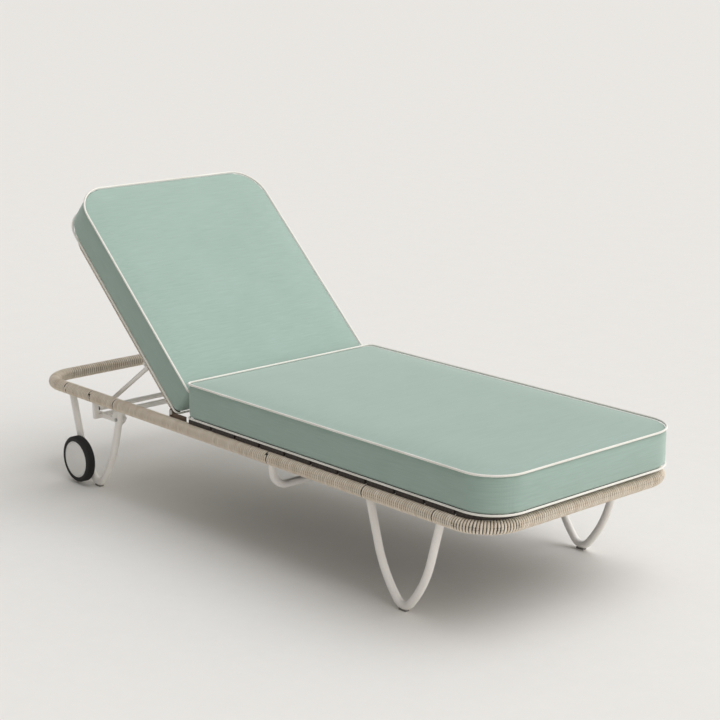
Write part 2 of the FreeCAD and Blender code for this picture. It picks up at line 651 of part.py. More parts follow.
stay_pins = {}
for name, side in ENDS.items():
    stay_pins[name] = fuse("stay_pin_" + name, [
        side_rod("stay_pin_shank_" + name, side, "pin_r", "%s - %s" % (STAY_Y, STAY_R),
                 TAB_OUT + " + 2", "-stay_s", "-stay_n"),
        side_rod("stay_pin_head_" + name, side, "stay_head_r",
                 "%s - %s - stay_head - 0.3" % (STAY_Y, STAY_R),
                 "%s - %s - 0.3" % (STAY_Y, STAY_R), "-stay_s", "-stay_n"),
        side_rod("stay_pin_neck_" + name, side, "pin_r", "%s - %s - 0.3" % (STAY_Y, STAY_R),
                 "%s - %s" % (STAY_Y, STAY_R), "-stay_s", "-stay_n")])
    tab = tab_box("tab_blank_" + name, side, "0", "0")
    lean(node(cut("tab_" + name, tab, [back_side("tab_side_" + name, side, BACK_R),
                                       stay_pins[name]]), "stay_tab_" + name))
    eye = cut("knuckle_" + name, knuckle("knuckle_blank_" + name, side, "knuckle_r"),
              [side_rod("knuckle_bore_" + name, side, "pin_r + fit_gap",
                        "%s - knuckle_in - 1" % SIDE, "%s - knuckle_out + 1" % SIDE,
                        "0", "0")])
    lean(node(eye, "backrest_knuckle_" + name))
lean(node(group("stay_pin_set", list(stay_pins.values())), "stay_pins"))

wrap_cuts = [side_rod("back_wrap_pin_" + name, side, "pin_r + wrap_gap",
                      "%s - %s" % (STAY_Y, STAY_R), TAB_OUT + " + 3", "-stay_s", "-stay_n")
             for name, side in ENDS.items()]
wrap_cuts += [back_bar("back_wrap_bar", BACK_R + " + wrap_gap"),
              knuckle("back_wrap_eye_near", -1, "knuckle_r + wrap_gap"),
              knuckle("back_wrap_eye_far", 1, "knuckle_r + wrap_gap"),
              box("back_wrap_start", ("-back_bar_s / 2", "-" + SIDE, "-20"), ("20", SIDE, "20")),
              tab_box("back_wrap_tab_near", -1, "wrap_gap", "-4"),
              tab_box("back_wrap_tab_far", 1, "wrap_gap", "-4")]
back_wrap_in = fuse("back_wrap_inside", back_runs("back_wrap_i", BACK_R))
back_wrap_out = fuse("back_wrap_outside", back_runs("back_wrap_o", BACK_WRAP_R))
lean(node(cut("back_wrap", back_wrap_out, [back_wrap_in, *wrap_cuts]), "backrest_wrap"))

BACK_SLAT_LAST = "(%s - back_corner - back_slat_wide / 2 - back_slat_end)" % BACK_TOP
for i in range(BACK_SLATS):
    s = "(back_slat_first + (%s - back_slat_first) * %d / %d)" % (BACK_SLAT_LAST, i,
                                                                BACK_SLATS - 1)
    plank = box("back_plank_%d" % i,
                ("-%s - back_slat_wide / 2" % s, "-" + BACK_Y, "-back_slat_low"),
                ("-%s + back_slat_wide / 2" % s, BACK_Y, "back_slat_thick - back_slat_low"))
    tools = [back_side("back_plank_near_%d" % i, -1, BACK_WRAP_R),
             back_side("back_plank_far_%d" % i, 1, BACK_WRAP_R)]
    lean(node(cut("back_slat_%d" % i, plank, tools), "backrest_slat_%d" % (i + 1)))

# ---------------------------------------------------------------- stay
PIVOT_X = "(%s - stay_s * %s - stay_n * %s)" % (HINGE_X, trig("cos", "recline"),
                                                trig("sin", "recline"))
PIVOT_Z = "(%s + stay_s * %s - stay_n * %s)" % (HINGE_Z, trig("sin", "recline"),
                                                trig("cos", "recline"))


def swing(obj):
    return put(obj, (PIVOT_X, "0", PIVOT_Z), 0, "-stay_slope")


CROSS_HALF = "(%s - %s - stay_side_gap - stay_cap)" % (LEG_Y, LEG_R)


def stay_arms(name, radius, start):
    return [rod("%s_%s" % (name, key), radius, "stay_length - " + start,
                ("-" + start, "%s * %d" % (STAY_Y, side), "0"), 180)
            for key, side in ENDS.items()]


def stay_cross(name, radius):
    return rod(name, radius, "2 * " + CROSS_HALF, ("-stay_length", "-" + CROSS_HALF, "0"), 90)


EYE_HALF = "(%s - stay_eye_in)" % STAY_R
ARM_R = "(%s - stay_arm_step)" % STAY_R
stay_eyes = [side_rod("stay_eye_" + key, side, "stay_eye_r", "%s - %s" % (STAY_Y, EYE_HALF),
                      "%s + %s" % (STAY_Y, EYE_HALF), "0", "0") for key, side in ENDS.items()]
stay_bores = [side_rod("stay_bore_" + key, side, "pin_r + fit_gap",
                       "%s - %s - 1" % (STAY_Y, STAY_R), "%s + %s + 1" % (STAY_Y, STAY_R),
                       "0", "0") for key, side in ENDS.items()]
stay_outside = fuse("stay_outside", stay_arms("stay_arm", ARM_R, "0")
                    + [stay_cross("stay_cross", STAY_R)] + stay_eyes)
stay_inside = fuse("stay_inside", stay_arms("stay_arm_in", ARM_R + " - stay_wall", "12")
                   + [stay_cross("stay_cross_in", STAY_R + " - stay_wall")] + stay_bores)
swing(node(cut("stay", stay_outside, [stay_inside]), "stay_frame"))
caps = [side_rod("stay_cap_" + key, side, STAY_R, CROSS_HALF, CROSS_HALF + " + stay_cap",
                 "-stay_length", "0") for key, side in ENDS.items()]
swing(node(group("stay_cap_set", caps), "stay_end_caps"))

# ---------------------------------------------------------------- wheels
RIM_R = "(wheel_r - tyre_deep)"
CAP_R = "(%s - hub_lip - cap_gap)" % RIM_R


def wheel(name, side):
    """A moulded wheel: tyre, hub and a broad hub cap, turned about the axle line."""
    pieces = {
        "tyre": [(RIM_R, WHEEL_IN), ("wheel_r - 5", WHEEL_IN), ("wheel_r", WHEEL_IN + " + 6"),
                 ("wheel_r", WHEEL_OUT + " - 6"), ("wheel_r - 5", WHEEL_OUT),
                 (RIM_R, WHEEL_OUT)],
        "hub": [("axle_r + fit_gap", WHEEL_IN + " + 1"), (RIM_R, WHEEL_IN + " + 1"),
                (RIM_R, WHEEL_OUT + " - 1"), (RIM_R + " - hub_lip", WHEEL_OUT + " - 0.5"),
                (RIM_R + " - hub_lip", WHEEL_OUT + " - 0.5 - cap_thick"),
                ("axle_r + fit_gap", WHEEL_OUT + " - 0.5 - cap_thick")],
        "cap": [("0", WHEEL_OUT + " - 0.5 - cap_thick"),
                (CAP_R, WHEEL_OUT + " - 0.5 - cap_thick"),
                (CAP_R, WHEEL_OUT + " - 1"), (CAP_R + " - 1", WHEEL_OUT),
                ("0", WHEEL_OUT + " + 1")],
    }
    for piece, corners in pieces.items():
        if side < 0:
            corners = [(r, "-(%s)" % d) for r, d in corners]
        body = revolved("wheel_%s_%s" % (piece, name), corners)
        put(body, (AXLE_X, "0", "axle_z"))
        node(body, "wheel_%s_%s" % (piece, name))


for name, side in ENDS.items():
    wheel(name, side)

# ---------------------------------------------------------------- cushions
SEAT_X0 = "(%s + seat_start)" % HINGE_X
SEAT_X1 = "(%s + seat_end)" % HALF
SEAT_Z = "(%s + slat_thick + soft_gap)" % RING_TOP
seat, seat_pad = padded_body("seat", "XY_Plane", [
    (SEAT_X0, "-seat_half"), (SEAT_X1, "-seat_half"), (SEAT_X1, "seat_half"),
    (SEAT_X0, "seat_half")], "seat_thick")
foot_fillet = rounded(seat, seat_pad, "seat_foot_corners", "seat_corner",
                      lambda e: e.BoundBox.ZLength > 50 and e.BoundBox.XMin > 0)
rounded(seat, foot_fillet, "seat_head_corners", "seat_head_corner",
        lambda e: e.BoundBox.ZLength > 50 and e.BoundBox.XMax < num(SEAT_X0) + 1)
node(put(seat, ("0", "0", SEAT_Z)), "seat_cushion")

PAD_X1 = "pad_start"
PAD_X0 = "(pad_start - pad_length)"
PAD_N = "(%s + soft_gap + 0.3)" % BACK_WRAP_R
pad_body, pad_pad = padded_body("pad", "XY_Plane", [
    (PAD_X0, "-pad_half"), (PAD_X1, "-pad_half"), (PAD_X1, "pad_half"),
    (PAD_X0, "pad_half")], "pad_thick")
pad_top = rounded(pad_body, pad_pad, "pad_top_corners", "pad_corner",
                  lambda e: e.BoundBox.ZLength > 50 and e.BoundBox.XMin < -100)
pad_low = rounded(pad_body, pad_top, "pad_low_corners", "pad_low_corner",
                  lambda e: e.BoundBox.ZLength > 50 and e.BoundBox.XMin > 0)
rounded(pad_body, pad_low, "pad_front_edge", "pad_edge",
        lambda e: e.BoundBox.YLength > 300 and e.BoundBox.XMin > 0
        and e.BoundBox.ZMin > num("pad_thick") - 1)
c, s = trig("cos", "recline"), trig("sin", "recline")
node(put(pad_body, ("%s + %s * %s" % (HINGE_X, PAD_N, s), "0",
                    "%s + %s * %s" % (HINGE_Z, PAD_N, c)), 0, "recline"), "back_cushion")

# ---------------------------------------------------------------- check and write
doc.recompute()
for obj in doc.Objects:
    if {"Invalid", "Error"} & set(obj.State):
        raise RuntimeError("%s did not build: %s" % (obj.Name, obj.State))
names = [obj.Label for obj in nodes]
if len(names) != len(set(names)) or len(names) > 60:
    raise RuntimeError("node names clash or are too many")
for obj in nodes:
    if obj.Shape.isNull() or not obj.Shape.isValid() or not obj.Shape.Solids:
        raise RuntimeError("%s has no valid solid" % obj.Label)
for obj in nodes:
    obj.Shape.exportStep("parts/%s.step" % obj.Label)
    b = obj.Shape.BoundBox
    print("%-24s solids %2d  x %8.1f %8.1f  y %7.1f %7.1f  z %6.1f %6.1f  cm3 %8.1f" % (
        obj.Label, len(obj.Shape.Solids), b.XMin, b.XMax, b.YMin, b.YMax, b.ZMin, b.ZMax,
        obj.Shape.Volume / 1000))
for part in (0.0, 0.5, 1.0):
    angle = part * num("upright")
    print("stay foot at %.1f deg: %.1f, %.1f" % ((angle,) + stay_foot(angle)))
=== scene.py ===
# %% [markdown]
# # A reclining sun lounger
# The lounger is a rope-wrapped steel ring on four bent-tube legs, with a slatted deck,
# a backrest that leans on a swinging stay, two wheels and two piped box cushions.
# The metalwork comes in from the CAD model as a fixed frame. This lesson adds what
# CAD leaves plain: the wound rope, the sewn cushions, the tyres and every finish.

# %% Load the frame
import bpy
import bmesh
import json
import math
from mathutils import Matrix, Vector


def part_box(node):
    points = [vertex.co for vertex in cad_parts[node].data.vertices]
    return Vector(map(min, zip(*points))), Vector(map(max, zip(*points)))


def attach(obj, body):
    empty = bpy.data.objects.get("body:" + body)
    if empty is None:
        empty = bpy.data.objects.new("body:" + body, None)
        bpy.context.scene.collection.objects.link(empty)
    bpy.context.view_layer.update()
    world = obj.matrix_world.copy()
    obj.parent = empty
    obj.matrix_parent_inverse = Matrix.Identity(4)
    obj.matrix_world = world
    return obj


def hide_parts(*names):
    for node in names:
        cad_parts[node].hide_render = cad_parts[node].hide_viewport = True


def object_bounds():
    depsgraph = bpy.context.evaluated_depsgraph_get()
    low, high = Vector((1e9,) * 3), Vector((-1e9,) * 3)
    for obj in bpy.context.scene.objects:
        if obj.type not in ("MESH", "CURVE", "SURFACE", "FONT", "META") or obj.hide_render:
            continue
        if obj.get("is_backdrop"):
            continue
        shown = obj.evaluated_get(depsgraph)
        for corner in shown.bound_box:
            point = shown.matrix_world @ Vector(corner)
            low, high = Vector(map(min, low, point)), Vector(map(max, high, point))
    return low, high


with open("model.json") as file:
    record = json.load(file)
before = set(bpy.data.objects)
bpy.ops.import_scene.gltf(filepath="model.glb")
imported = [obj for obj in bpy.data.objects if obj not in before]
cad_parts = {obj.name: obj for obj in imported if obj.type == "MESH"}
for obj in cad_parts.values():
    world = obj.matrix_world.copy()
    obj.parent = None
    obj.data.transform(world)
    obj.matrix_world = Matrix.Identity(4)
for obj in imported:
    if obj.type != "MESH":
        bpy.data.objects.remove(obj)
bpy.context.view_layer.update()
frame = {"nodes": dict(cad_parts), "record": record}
MM = 0.001

# %% [markdown]
# ## One way to write colours and nodes
# Every colour below is an sRGB hex value, as a paint chart gives it. Blender's shaders
# work in linear light, so one function turns the one into the other. A second function
# adds a node, sets it and links it, which keeps the materials short enough to read.

# %% Colours and nodes
def linear(hex_code):
    """A linear RGBA colour from an sRGB hex value."""
    out = []
    for i in (1, 3, 5):
        c = int(hex_code[i:i + 2], 16) / 255
        out.append(c / 12.92 if c <= 0.04045 else ((c + 0.055) / 1.055) ** 2.4)
    return (*out, 1.0)


def add(tree, kind, settings=None, inputs=None):
    """Adds a node, sets its options, and fills its inputs with values or links."""
    node = tree.nodes.new(kind)
    for name, value in (settings or {}).items():
        setattr(node, name, value)
    for key, value in (inputs or {}).items():
        if isinstance(value, bpy.types.NodeSocket):
            tree.links.new(value, node.inputs[key])
        else:
            node.inputs[key].default_value = value
    return node


def start_material(name):
    """An empty node material, with its tree and its shader."""
    material = bpy.data.materials.new(name)
    material.use_nodes = True
    tree = material.node_tree
    return material, tree, tree.nodes["Principled BSDF"]


SHINE = 0.25  # the specular level of cloth and rope, half of a plastic's

# %% [markdown]
# ## Acrylic slub canvas for the cushions
# Outdoor cushions are sewn from solution-dyed acrylic canvas. Its weft has slubs, thick
# and thin places in the yarn, which read as faint streaks across the cloth. A noise
# squeezed in one direction draws a slub: long along the yarn, a yarn wide across it.
# The yarns themselves are 0.6 mm apart, too fine to show on a whole lounger, so they are
# drawn at 1.6 mm. The boxing strip is cut along the roll, so its streaks run the long
# way, and it gets a material of its own. A wave texture makes 3.2 bands a metre at
# scale 1, so a width in metres is turned into a scale by that number.

# %% Slub canvas
BANDS = 3.2
YARN = 1.6 * MM
SLUB_LONG = 70 * MM
SLUB_WIDE = 3.2 * MM


def slub_canvas(name, colour, dark, turn=0.0, along="Y"):
    """Woven acrylic: slub streaks along one way, a plain weave in the bump."""
    material, tree, shader = start_material(name)
    place = add(tree, "ShaderNodeTexCoord").outputs["Object"]
    flat = add(tree, "ShaderNodeMapping", {"vector_type": "POINT"},
               {"Vector": place, "Rotation": (0.0, turn, 0.0)}).outputs["Vector"]
    fine, long = 1 / SLUB_WIDE, 1 / SLUB_LONG
    scale = (fine, long, fine) if along == "Y" else (long, long, fine)
    streak = add(tree, "ShaderNodeMapping", None,
                 {"Vector": flat, "Scale": scale}).outputs["Vector"]
    slub = add(tree, "ShaderNodeTexNoise", {"noise_dimensions": "3D"},
               {"Vector": streak, "Scale": 1.0, "Detail": 3.0, "Roughness": 0.6})
    broad = add(tree, "ShaderNodeTexNoise", None,
                {"Vector": flat, "Scale": 7.0, "Detail": 2.0})
    tone = add(tree, "ShaderNodeMix", {"data_type": "FLOAT"},
               {0: 0.25, 2: slub.outputs["Fac"], 3: broad.outputs["Fac"]})
    ramp = add(tree, "ShaderNodeValToRGB", None, {"Fac": tone.outputs[0]})
    ramp.color_ramp.elements[0].position = 0.34
    ramp.color_ramp.elements[0].color = linear(dark)
    ramp.color_ramp.elements[1].position = 0.66
    ramp.color_ramp.elements[1].color = linear(colour)
    warp = add(tree, "ShaderNodeTexWave", {"bands_direction": "X"},
               {"Vector": flat, "Scale": 1 / (2 * YARN) / BANDS, "Distortion": 0.6,
                "Detail": 1.0, "Detail Scale": 2.0})
    weft = add(tree, "ShaderNodeTexWave",
               {"bands_direction": "Y" if along == "Y" else "Z"},
               {"Vector": flat, "Scale": 1 / (2 * YARN) / BANDS, "Distortion": 0.6,
                "Detail": 1.0, "Detail Scale": 2.0})
    weave = add(tree, "ShaderNodeMath", {"operation": "MULTIPLY"},
                {0: warp.outputs["Fac"], 1: weft.outputs["Fac"]})
    height = add(tree, "ShaderNodeMath", {"operation": "ADD"},
                 {0: weave.outputs[0], 1: slub.outputs["Fac"]})
    bump = add(tree, "ShaderNodeBump", None,
               {"Height": height.outputs[0], "Strength": 0.22, "Distance": 0.0006})
    tree.links.new(ramp.outputs["Color"], shader.inputs["Base Color"])
    tree.links.new(bump.outputs["Normal"], shader.inputs["Normal"])
    shader.inputs["Roughness"].default_value = 0.88
    shader.inputs["Specular IOR Level"].default_value = SHINE
    shader.inputs["Sheen Weight"].default_value = 0.6
    shader.inputs["Sheen Roughness"].default_value = 0.5
    shader.inputs["Sheen Tint"].default_value = linear("#dfe9e2")
    return material


RECLINE = math.radians(42.8)
SAGE, SAGE_SLUB = "#9fb4ab", "#96aba1"
print("sage in linear light:", [round(v, 3) for v in linear(SAGE)[:3]])
seat_panel = slub_canvas("acrylic slub canvas, seat panel", SAGE, SAGE_SLUB)
seat_boxing = slub_canvas("acrylic slub canvas, seat boxing", SAGE, SAGE_SLUB, along="X")
back_panel = slub_canvas("acrylic slub canvas, back panel", SAGE, SAGE_SLUB, -RECLINE)
back_boxing = slub_canvas("acrylic slub canvas, back boxing", SAGE, SAGE_SLUB, -RECLINE, "X")
print("slub streaks:", SLUB_LONG * 1000, "x", SLUB_WIDE * 1000, "mm")

# %% [markdown]
# ## Cotton-look cord, rope and powder coat
# The piping is a white cord in a bias-cut sleeve. The rope is a braided polyester over
# steel tube: matt, warm grey-beige, with a fibre grain and a colour that drifts every
# 45 mm of cord, so one turn differs from the next. The tubes have a satin powder coat,
# which is very slightly pebbled where the powder flowed in the oven. The tyre is moulded
# rubber and the hub moulded polypropylene. The plain ones are each one noise at the size
# of their real grain.

# %% Plain finishes
def grained(name, colour, dark, grain, bump_height, roughness, metallic=0.0, stretch=None,
            spread=0.16, sheen=0.0, coat=0.0):
    """A finish with one grain: a colour that drifts a little and a fine relief."""
    material, tree, shader = start_material(name)
    place = add(tree, "ShaderNodeTexCoord").outputs["Object"]
    vector = add(tree, "ShaderNodeMapping", None,
                 {"Vector": place, "Scale": stretch or (1, 1, 1)}).outputs["Vector"]
    fleck = add(tree, "ShaderNodeTexNoise", None,
                {"Vector": vector, "Scale": 1 / grain, "Detail": 4.0})
    cloud = add(tree, "ShaderNodeTexNoise", None, {"Vector": place, "Scale": 9.0})
    tone = add(tree, "ShaderNodeMix", {"data_type": "FLOAT"},
               {0: 0.45, 2: fleck.outputs["Fac"], 3: cloud.outputs["Fac"]})
    ramp = add(tree, "ShaderNodeValToRGB", None, {"Fac": tone.outputs[0]})
    ramp.color_ramp.elements[0].position = 0.5 - spread
    ramp.color_ramp.elements[0].color = linear(dark)
    ramp.color_ramp.elements[1].position = 0.5 + spread
    ramp.color_ramp.elements[1].color = linear(colour)
    bump = add(tree, "ShaderNodeBump", None,
               {"Height": fleck.outputs["Fac"], "Strength": 0.5, "Distance": bump_height})
    tree.links.new(ramp.outputs["Color"], shader.inputs["Base Color"])
    tree.links.new(bump.outputs["Normal"], shader.inputs["Normal"])
    shader.inputs["Roughness"].default_value = roughness
    shader.inputs["Metallic"].default_value = metallic
    shader.inputs["Sheen Weight"].default_value = sheen
    shader.inputs["Coat Weight"].default_value = coat
    return material


piping_cord = grained("cotton-look bias cord, sewn", "#f1efe9", "#dedbd2", 1.5 * MM,
                      0.2 * MM, 0.8, sheen=0.2)
powder_white = grained("powder-coated steel, warm white", "#f8f5f1", "#efebe5", 2.0 * MM,
                       0.05 * MM, 0.42, coat=0.1)
# The tubes under the rope are coloured near black as painted shade, so the gaps between the
# turns read dark.
shade_under_rope = grained("steel tube, near black as painted shade under the rope", "#2c2622", "#1d1916",
                      2.0 * MM, 0.05 * MM, 0.6)
powder_bronze = grained("powder-coated steel, bronze", "#6a5543", "#4b3a2d", 2.0 * MM,
                        0.05 * MM, 0.5)
zinc_plate = grained("zinc-plated steel, turned", "#b9b9b4", "#9c9c98", 1.0 * MM,
                     0.03 * MM, 0.35, metallic=1.0)
tyre_rubber = grained("rubber, moulded and ribbed", "#232323", "#161616", 1.2 * MM,
                      0.1 * MM, 0.72)
hub_plastic = grained("polypropylene, moulded light grey", "#f0efec", "#e6e5e1",
                      1.5 * MM, 0.04 * MM, 0.45)
glide_plastic = grained("polyethylene, moulded grey", "#8e8c87", "#7a7873", 1.5 * MM,
                        0.05 * MM, 0.55)
end_plastic = grained("polyethylene, moulded black", "#262626", "#1a1a1a", 1.5 * MM,
                      0.05 * MM, 0.55)


TURN_LONG = 45 * MM
BRAID_LONG = 4.0 * MM
BRAID_TURNS = 4.0
FIBRES = 900.0


def braided_rope(name, colour, dark, braid_shade, crease_shade):
    """Braided cord: its strands follow the cord's own map; the braid's hollows get painted
    shade, and the creases between turns get painted shade with a little dust.
    """
    material, tree, shader = start_material(name)
    lie = add(tree, "ShaderNodeAttribute", {"attribute_name": "cord_map"}).outputs["Vector"]
    place = add(tree, "ShaderNodeTexCoord").outputs["Object"]
    parts = add(tree, "ShaderNodeSeparateXYZ", None, {"Vector": lie})
    strands = []
    for sign in (1, -1):
        slant = add(tree, "ShaderNodeMath", {"operation": "MULTIPLY_ADD"},
                    {0: parts.outputs["Y"], 1: sign * BRAID_TURNS * 2 * math.pi,
                     2: add(tree, "ShaderNodeMath", {"operation": "MULTIPLY"},
                            {0: parts.outputs["X"],
                             1: 2 * math.pi / BRAID_LONG}).outputs[0]})
        strands.append(add(tree, "ShaderNodeMath", {"operation": "SINE"},
                           {0: slant.outputs[0]}).outputs[0])
    braid = add(tree, "ShaderNodeMath", {"operation": "MAXIMUM"},
                {0: strands[0], 1: strands[1]})
    fibre = add(tree, "ShaderNodeTexNoise", None,
                {"Vector": place, "Scale": FIBRES, "Detail": 3.0})
    turn = add(tree, "ShaderNodeTexNoise", {"noise_dimensions": "1D"},
               {"W": parts.outputs["X"], "Scale": 1 / TURN_LONG, "Detail": 1.0})
    tone = add(tree, "ShaderNodeMix", {"data_type": "FLOAT"},
               {0: 0.5, 2: fibre.outputs["Fac"], 3: turn.outputs["Fac"]})
    ramp = add(tree, "ShaderNodeValToRGB", None, {"Fac": tone.outputs[0]})
    ramp.color_ramp.elements[0].position = 0.36
    ramp.color_ramp.elements[0].color = linear(dark)
    ramp.color_ramp.elements[1].position = 0.64
    ramp.color_ramp.elements[1].color = linear(colour)
    # The hollows between the braid's strands are mixed towards a darker colour: painted shade
    # in the braid.
    hollow_shade = add(tree, "ShaderNodeMapRange", None,
                 {"Value": braid.outputs[0], "From Min": -0.6, "From Max": 0.5,
                  "To Min": 0.35, "To Max": 0.0})
    braided = add(tree, "ShaderNodeMix", {"data_type": "RGBA"},
                  {0: hollow_shade.outputs[0], 6: ramp.outputs["Color"], 7: linear(braid_shade)})
    # Where the cord dips towards the tube between turns, the colour goes near black: painted
    # shade in the creases, with a little dust.
    stand = add(tree, "ShaderNodeAttribute", {"attribute_name": "stand"}).outputs["Fac"]
    crease = add(tree, "ShaderNodeMapRange", {"interpolation_type": "SMOOTHSTEP"},
                 {"Value": stand, "From Min": 0.05, "From Max": 0.75,
                  "To Min": 1.0, "To Max": 0.0})
    mix = add(tree, "ShaderNodeMix", {"data_type": "RGBA"},
              {0: crease.outputs[0], 6: braided.outputs[2], 7: linear(crease_shade)})
    height = add(tree, "ShaderNodeMath", {"operation": "MULTIPLY_ADD"},
                 {0: fibre.outputs["Fac"], 1: 0.6, 2: braid.outputs[0]})
    bump = add(tree, "ShaderNodeBump", None,
               {"Height": height.outputs[0], "Strength": 0.5, "Distance": 0.3 * MM})
    tree.links.new(mix.outputs[2], shader.inputs["Base Color"])
    tree.links.new(bump.outputs["Normal"], shader.inputs["Normal"])
    shader.inputs["Roughness"].default_value = 0.9
    shader.inputs["Specular IOR Level"].default_value = SHINE
    shader.inputs["Sheen Weight"].default_value = 0.15
    return material


# The last two colours are painted shade: the first for the braid's hollows, the second for
# the creases between turns.
rope = braided_rope("polyester rope, braided", "#f3e9da", "#dccdb9", "#ab987f", "#41342a")
print("finishes:", len(bpy.data.materials))

# %% [markdown]
# ## Hardwood for the slats, darkened as painted shade
# The deck is planed eucalyptus. Its near black colour is painted shade, for the shadow that
# the cushions cast on the slats. Its grain runs the length of each slat, across the lounger,
# so a noise is stretched that way: fibres 1.2 mm wide, and growth rings 12 mm apart that
# bend a little. The colour is darkest in the open pores, and the oil leaves a dull gloss.
# The backrest's slats lean, so their pattern leans too.

# %% Hardwood darkened as painted shade
FIBRE_WIDE = 1.2 * MM
RING_WIDE = 12 * MM
GRAIN = 0.045  # how much the pattern is squeezed along the grain


def shade_darkened_wood(name, colour, dark, turn=0.0):
    """Oiled hardwood, its grain along Y; its darkness is painted shade, set by the colours
    given.
    """
    material, tree, shader = start_material(name)
    place = add(tree, "ShaderNodeTexCoord").outputs["Object"]
    flat = add(tree, "ShaderNodeMapping", None,
               {"Vector": place, "Rotation": (0.0, turn, 0.0)}).outputs["Vector"]
    stretched = add(tree, "ShaderNodeMapping", None,
                    {"Vector": flat, "Scale": (1.0, GRAIN, 1.0)}).outputs["Vector"]
    fibres = add(tree, "ShaderNodeTexNoise", None,
                 {"Vector": stretched, "Scale": 1 / FIBRE_WIDE, "Detail": 3.0})
    rings = add(tree, "ShaderNodeTexWave", {"bands_direction": "X"},
                {"Vector": stretched, "Scale": 1 / RING_WIDE / BANDS, "Distortion": 5.0,
                 "Detail": 2.0, "Detail Scale": 0.6})
    tone = add(tree, "ShaderNodeMix", {"data_type": "FLOAT"},
               {0: 0.4, 2: fibres.outputs["Fac"], 3: rings.outputs["Fac"]})
    ramp = add(tree, "ShaderNodeValToRGB", None, {"Fac": tone.outputs[0]})
    ramp.color_ramp.elements[0].position = 0.25
    ramp.color_ramp.elements[0].color = linear(dark)
    ramp.color_ramp.elements[1].position = 0.75
    ramp.color_ramp.elements[1].color = linear(colour)
    bump = add(tree, "ShaderNodeBump", None,
               {"Height": fibres.outputs["Fac"], "Strength": 0.4, "Distance": 0.25 * MM})
    tree.links.new(ramp.outputs["Color"], shader.inputs["Base Color"])
    tree.links.new(bump.outputs["Normal"], shader.inputs["Normal"])
    shader.inputs["Roughness"].default_value = 0.6
    return material


# These near black browns are painted shade: the slats sit in the shadow under the cushions.
seat_wood = shade_darkened_wood("eucalyptus, oiled, darkened as painted shade, deck", "#35291f", "#1d1611")
back_wood = shade_darkened_wood("eucalyptus, oiled, darkened as painted shade, back", "#35291f", "#1d1611",
                         -RECLINE)
slat_low, slat_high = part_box("seat_slat_02")
print("fibres across a slat:", round((slat_high.x - slat_low.x) / FIBRE_WIDE))

# %% [markdown]
# ## Give the metalwork its finishes
# The CAD parts keep their shapes, because a drawn tube is already the real tube. Each
# one only swaps the plain colour that came with it for a finish.

# %% Finish the CAD parts
FINISHES = {
    "white_coat": powder_white, "bronze_coat": powder_bronze, "zinc": zinc_plate,
    "black_plastic": end_plastic, "tyre": tyre_rubber, "hub": hub_plastic,
    "rope": rope, "seat_fabric": seat_panel, "back_fabric": back_panel,
    "deck_wood": seat_wood,
}
# The tubes under the rope take the near black painted shade instead of the finish of their
# slot.
OWN_FINISH = {"leg_glides": glide_plastic, "ring_frame_tube": shade_under_rope,
              "backrest_frame_tube": shade_under_rope}
slots = {part["node"]: part["material_slot"] for part in frame["record"]["subparts"]}
for node, slot in slots.items():
    finish = OWN_FINISH.get(node, FINISHES[slot])
    if node.startswith("backrest_slat"):
        finish = back_wood
    for held in frame["nodes"][node].material_slots:
        held.material = finish
print("finished", len(slots), "CAD parts")

# %% [markdown]
# ## The rope, wound by Geometry Nodes
# A cord wound on a tube is a rule, not a shape to sculpt: walk along the tube, and turn
# round it once for every cord's width. So the tree takes the tube's centre line as a
# curve, cuts it into short steps, pushes each step sideways round the tube and sweeps a
# small circle along the result. It could be modelled with a screw modifier, but that
# can't follow a bent frame. The tree also stores each point's place along and around
# the cord, which the rope's braid reads, and how far the point stands out from the
# tube, from -1 at the tube to 1 on the crown of the cord.

# %% Winding tree
def start_tree(name, inputs):
    """A Geometry Nodes tree with named inputs, and its two ends."""
    tree = bpy.data.node_groups.new(name, "GeometryNodeTree")
    tree.is_modifier = True
    tree.interface.new_socket("Geometry", in_out="INPUT", socket_type="NodeSocketGeometry")
    for label, kind in inputs:
        tree.interface.new_socket(label, in_out="INPUT", socket_type="NodeSocket" + kind)
    tree.interface.new_socket("Geometry", in_out="OUTPUT", socket_type="NodeSocketGeometry")
    return tree, tree.nodes.new("NodeGroupInput"), tree.nodes.new("NodeGroupOutput")


def end_tree(tree, given, last, geometry, smooth=True):
    """Ends a tree: one plain mesh with its material."""
    plain = add(tree, "GeometryNodeRealizeInstances", None, {"Geometry": geometry})
    shaded = add(tree, "GeometryNodeSetShadeSmooth", None,
                 {"Geometry": plain.outputs["Geometry"], "Shade Smooth": smooth})
    painted = add(tree, "GeometryNodeSetMaterial", None,
                  {"Geometry": shaded.outputs["Geometry"],
                   "Material": given.outputs["Material"]})
    tree.links.new(painted.outputs["Geometry"], last.inputs["Geometry"])


def sweep(tree, given, curve, along, resolution, store=()):
    """A round cord swept along a curve, with its place along and around stored on it."""
    circle = add(tree, "GeometryNodeCurvePrimitiveCircle", {"mode": "RADIUS"},
                 {"Resolution": resolution, "Radius": given.outputs["Cord Radius"]})
    around = add(tree, "GeometryNodeCaptureAttribute", None,
                 {"Geometry": circle.outputs["Curve"]})
    around.capture_items.new("FLOAT", "Around")
    tree.links.new(add(tree, "GeometryNodeSplineParameter").outputs["Factor"],
                   around.inputs["Around"])
    swept = add(tree, "GeometryNodeCurveToMesh", None,
                {"Curve": curve, "Profile Curve": around.outputs["Geometry"],
                 "Fill Caps": True})
    pair = add(tree, "ShaderNodeCombineXYZ", None,
               {"X": along, "Y": around.outputs["Around"]})
    mesh = add(tree, "GeometryNodeStoreNamedAttribute",
               {"data_type": "FLOAT_VECTOR", "domain": "POINT"},
               {"Geometry": swept.outputs["Mesh"], "Name": "cord_map",
                "Value": pair.outputs["Vector"]}).outputs["Geometry"]
    for name, value in store:
        mesh = add(tree, "GeometryNodeStoreNamedAttribute",
                   {"data_type": "FLOAT", "domain": "POINT"},
                   {"Geometry": mesh, "Name": name, "Value": value}).outputs["Geometry"]
    return mesh


